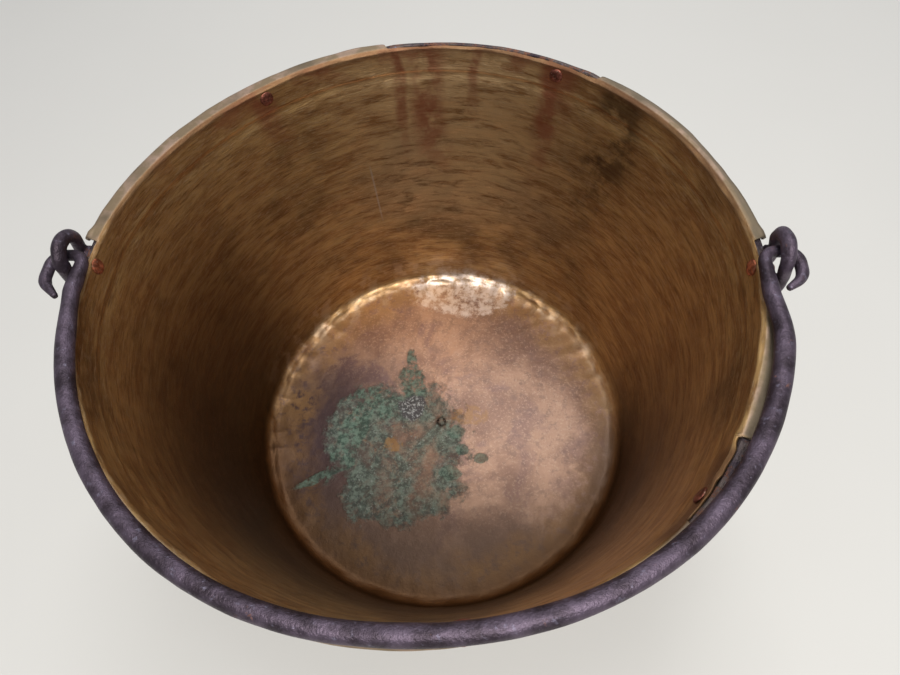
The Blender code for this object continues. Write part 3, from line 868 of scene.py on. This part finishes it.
    stain = look.mix(look.times(pale, 0.40), stain, (0.34, 0.37, 0.33))
    thick = look.span(look.noise(36.0, 4.0, 0.6), 0.34, 0.54, 0.35, 0.92)
    floor = look.mix(look.times(crust, thick), floor, stain)
    floor = look.mix(look.times(bright, 0.78), floor,
                     look.mix(look.span(fine, 0.38, 0.62), (0.024, 0.048, 0.034),
                              (0.115, 0.180, 0.135)))
    lump = look.times(look.blot(-0.027, 0.013, 0.0125, 0.0125, 0, fray), on_floor)
    dots = look.span(look.noise(480.0, 3.0, 0.7), 0.50, 0.62)
    floor = look.mix(look.times(lump, 0.85), floor,
                     look.mix(dots, (0.050, 0.042, 0.045), (0.32, 0.32, 0.31)))
    amber = look.times(look.most(look.blot(0.026, 0.006, 0.016, 0.010, 0, fray),
                                 look.blot(-0.042, -0.023, 0.009, 0.007, 0, fray)), on_floor,
                       look.span(grain, 0.40, 0.52))
    floor = look.mix(look.times(amber, 0.6), floor, (0.26, 0.13, 0.035))

    colour = look.mix(on_floor, wall, floor)
    # bright metal on the lumps of the corner, with a painted highlight: lightened only towards the
    # back
    corner = look.times(look.span(look.z, 0.040, 0.016), look.span(radius, 0.132, 0.150))
    knobs = look.span(look.noise(70.0, 3.0), 0.48, 0.62)
    colour = look.mix(look.times(corner, knobs, look.span(look.y, 0.0, 0.13), 0.40), colour,
                      (0.62, 0.47, 0.32))
    # painted shade: the corner darkened towards the front
    colour = look.mix(look.times(corner, look.span(look.y, 0.03, -0.05), 0.8), colour,
                      (0.075, 0.034, 0.012))
    # painted highlight: a near-white patch at the back of the corner, where a light is mirrored
    painted_highlight_patch = look.times(look.blot(0.014, 0.137, 0.050, 0.024, -4, look.noise(85.0, 5.0, 0.7)),
                       look.span(look.z, 0.020, 0.006))
    colour = look.mix(look.times(painted_highlight_patch, look.span(grain, 0.36, 0.60), 0.62), colour,
                      (0.78, 0.68, 0.62))

    # the last millimetres below the lip stay brown
    torn = look.times(look.span(look.x, 0.125, 0.138), look.span(look.y, -0.105, -0.112),
                      look.span(look.z, 0.222, 0.234))
    brow = look.most(look.times(look.span(look.z, 0.2370, 0.2425),
                                look.span(look.y, -0.02, 0.08)), torn)
    colour = look.mix(look.times(brow, 0.8), colour, (0.17, 0.085, 0.045))

    # the fold: handled and rubbed, pinkish where the zinc has gone
    rim_noise = look.noise(60.0, 4.0, 0.6)
    rim = look.mix(look.span(rim_noise, 0.42, 0.60), (0.24, 0.18, 0.11), (0.38, 0.27, 0.20))
    rim = look.mix(look.span(look.noise(30.0), 0.50, 0.66), rim, (0.16, 0.125, 0.08))
    # painted shade: the outer half of the fold's rounded top darkened to olive grey on the right
    painted_shade_outer_fold = look.times(look.span(look.plus(radius, look.times(look.math("SUBTRACT", rim_noise, 0.5),
                                                              0.004)), 0.2022, 0.2038),
                       look.span(look.x, 0.07, 0.13))
    rim = look.mix(look.times(painted_shade_outer_fold, 0.8), rim, (0.15, 0.125, 0.085))
    colour = look.mix(look.times(fold, 0.9), colour, rim)
    # the outside: darkened by smoke, with the metal showing through
    sooty = look.mix(look.span(look.noise(11.0, 7.0, 0.72, warp=0.3), 0.28, 0.74),
                     (0.085, 0.052, 0.027), (0.24, 0.145, 0.062))
    sooty = look.mix(look.times(look.span(thin, 0.44, 0.62), 0.5), sooty, (0.13, 0.080, 0.038))
    sooty = look.mix(look.span(look.z, 0.09, 0.0, 0.0, 0.7), sooty, (0.040, 0.030, 0.024))
    outside = look.times(outer, look.math("SUBTRACT", 1.0, fold))
    colour = look.mix(outside, colour, sooty)

    dirt = look.most(crust, bright, lump)
    metallic = look.blend(dirt, look.blend(look.most(on_floor, fold), 0.92, 0.62), 0.12)
    lip_zone = look.times(look.span(look.z, 0.2385, 0.2425), look.math("SUBTRACT", 1.0, fold))
    roughness = look.plus(0.33, look.times(speck, 0.10), look.times(broad, 0.12),
                          look.times(look.most(lip_zone, fold), 0.16),
                          look.times(dirt, 0.42), look.times(outside, 0.12))
    sheen = look.times(look.most(on_floor, corner), look.math("SUBTRACT", 1.0, dirt), 0.42)
    sheen = look.times(sheen, look.span(look.y, -0.10, 0.0), look.span(look.x, -0.11, -0.03))
    sheen = look.most(sheen, look.times(painted_highlight_patch, 0.7))
    look.tree.links.new(sheen, look.shader.inputs["Coat Weight"])
    look.shader.inputs["Coat Roughness"].default_value = 0.34
    return look.finish(colour, roughness, metallic, [
        (look.noise(75.0, 4.0, 0.6), 0.0011, 0.30),
        (lines, 0.0006, 0.40),
        (thin, 0.0005, 0.35),
        (look.noise(900.0, 2.0, 0.6), 0.0002, 0.35),
        (look.times(dirt, look.noise(330.0, 4.0, 0.7)), 0.0009, 0.9),
    ])


def iron_finish(name, rust_level, light=(0.118, 0.088, 0.118)):
    """Old wrought iron: purple-black scale, fine pits and a little rust."""
    look = Finish(name)
    scale = look.noise(55.0, 5.0, 0.65)
    pits = look.noise(620.0, 3.0, 0.65)
    colour = look.mix(look.span(scale, 0.36, 0.64), (0.040, 0.028, 0.036), light)
    rust = look.times(look.span(look.noise(85.0, 5.0, 0.7, warp=0.5), rust_level,
                                rust_level + 0.10), look.span(pits, 0.35, 0.60))
    colour = look.mix(look.times(rust, 0.8), colour, (0.21, 0.075, 0.032))
    glint = look.span(look.noise(240.0, 3.0, 0.6), 0.60, 0.72)
    colour = look.mix(look.times(glint, 0.55), colour, (0.21, 0.19, 0.25))
    roughness = look.plus(0.40, look.times(scale, 0.16), look.times(rust, 0.3))
    metallic = look.blend(rust, 0.72, 0.1)
    return look.finish(colour, roughness, metallic, [
        (look.noise(110.0, 4.0, 0.6), 0.0016, 0.55), (pits, 0.0007, 0.7)])


def copper_finish(name, tone):
    """Copper rivet: red-brown, darker in the hollows, with small lighter flecks."""
    look = Finish(name)
    blotch = look.noise(240.0, 4.0, 0.65)
    colour = look.mix(look.span(blotch, 0.38, 0.62), tuple(part * 0.35 for part in tone), tone)
    colour = look.mix(look.times(look.span(look.noise(700.0), 0.55, 0.7), 0.6), colour,
                      (0.42, 0.26, 0.18))
    return look.finish(colour, look.plus(0.34, look.times(blotch, 0.25)), 0.85,
                       [(blotch, 0.0005, 0.6), (look.noise(900.0), 0.0002, 0.4)])


def wear(piece, finish):
    piece.data.materials.clear()
    piece.data.materials.append(finish)


# Camera over the front of the rim, light and floor

camera_data = bpy.data.cameras.new("camera")
camera_data.sensor_width = 36.0
camera_data.lens = 26.856
camera_data.clip_end = 20.0
camera = bpy.data.objects.new("camera", camera_data)
bpy.context.scene.collection.objects.link(camera)
right = Vector((0.9972522, 0.0437324, -0.0597961))
up = Vector((-0.0087451, 0.8710156, 0.4911775))
back = right.cross(up)
camera.matrix_world = (Matrix.Translation((0.0520960, -0.2316478, 0.5687312))
                       @ Matrix((right, up, back)).transposed().to_4x4())
bpy.context.scene.camera = camera


def area_light(name, position, target, size, power, colour):
    data = bpy.data.lights.new(name, "AREA")
    data.shape = "RECTANGLE"
    data.size, data.size_y = size
    data.energy = power
    data.color = colour
    lamp = bpy.data.objects.new(name, data)
    bpy.context.scene.collection.objects.link(lamp)
    lamp.location = position
    lamp.rotation_euler = (Vector(target) - Vector(position)).to_track_quat("-Z", "Y").to_euler()
    return lamp


area_light("key", (0.22, -0.85, 1.75), (0.0, 0.08, 0.1), (0.8, 0.6), 29.0, (1.0, 0.99, 0.98))
area_light("back", (0.12, 1.00, 1.75), (0.05, 0.05, 0.0), (0.7, 0.7), 9.5, (0.95, 0.97, 1.0))
area_light("top", (0.05, 0.10, 2.0), (0.0, 0.1, 0.0), (0.5, 0.5), 4.0, (1.0, 1.0, 1.0))

world = bpy.data.worlds.new("studio")
world.use_nodes = True
world.node_tree.nodes["Background"].inputs[0].default_value = (0.90, 0.92, 1.0, 1.0)
world.node_tree.nodes["Background"].inputs[1].default_value = 0.42
bpy.context.scene.world = world
bpy.context.scene.view_settings.view_transform = "Standard"

floor_mesh = bmesh.new()
bmesh.ops.create_grid(floor_mesh, x_segments=2, y_segments=2, size=6.0)
floor_data = bpy.data.meshes.new("studio_floor")
floor_mesh.to_mesh(floor_data)
floor_mesh.free()
studio_floor = bpy.data.objects.new("studio_floor", floor_data)
bpy.context.scene.collection.objects.link(studio_floor)
floor_look = Finish("studio_floor")
floor_data.materials.append(floor_look.finish(
    floor_look.mix(floor_look.noise(3.0), (0.60, 0.585, 0.54), (0.64, 0.625, 0.58)), 0.85, 0.0,
    [(floor_look.noise(60.0), 0.0005, 0.2)]))

# The kettle

brass = brass_finish()
iron = iron_finish("wrought_iron_fine", 0.60)
bail_iron = iron_finish("bail_iron_fine", 0.64)
hoop_iron = iron_finish("rusty_iron_fine", 0.48, (0.125, 0.096, 0.082))
copper = copper_finish("rivet_copper_fine", (0.30, 0.10, 0.065))
red_copper = copper_finish("ear_rivet_copper_fine", (0.62, 0.20, 0.10))

wall_grip = SHEET + GAP + HOOP_THICKNESS
ears = {"right": radians(EAR_AZIMUTH), "left": pi - radians(EAR_AZIMUTH)}

pieces = [("pan_shell", build_pan(), brass, "aged_brass", "kettle_body"),
          ("rim_hoop", build_hoop(), hoop_iron, "wrought_iron", "kettle_body"),
          ("bail", build_bail(), bail_iron, "wrought_iron", "bail")]
for seed, (side, azimuth) in enumerate(ears.items()):
    pieces.append(("ear_" + side, build_ear(side, azimuth, 50 + seed), iron, "wrought_iron",
                   "kettle_body"))
    pieces.append(("ear_rivet_" + side,
                   build_rivet("ear_rivet_" + side, azimuth, EAR_RIVET_DROP,
                               wall_grip + GAP + TANG_THICKNESS - lip_push(azimuth), 60 + 4 * seed),
                   red_copper, "rivet_copper", "kettle_body"))
for seed, (name, azimuth) in enumerate(RIVET_AZIMUTHS.items()):
    grip = wall_grip + float(round_table(BAND_WIDTH, azimuth))
    pieces.append((name, build_rivet(name, radians(azimuth), RIVET_DROP, grip, 80 + 4 * seed),
                   copper, "rivet_copper", "kettle_body"))

for node, piece, finish, slot, body in pieces:
    wear(piece, finish)
    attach(piece, body)
    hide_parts(node)
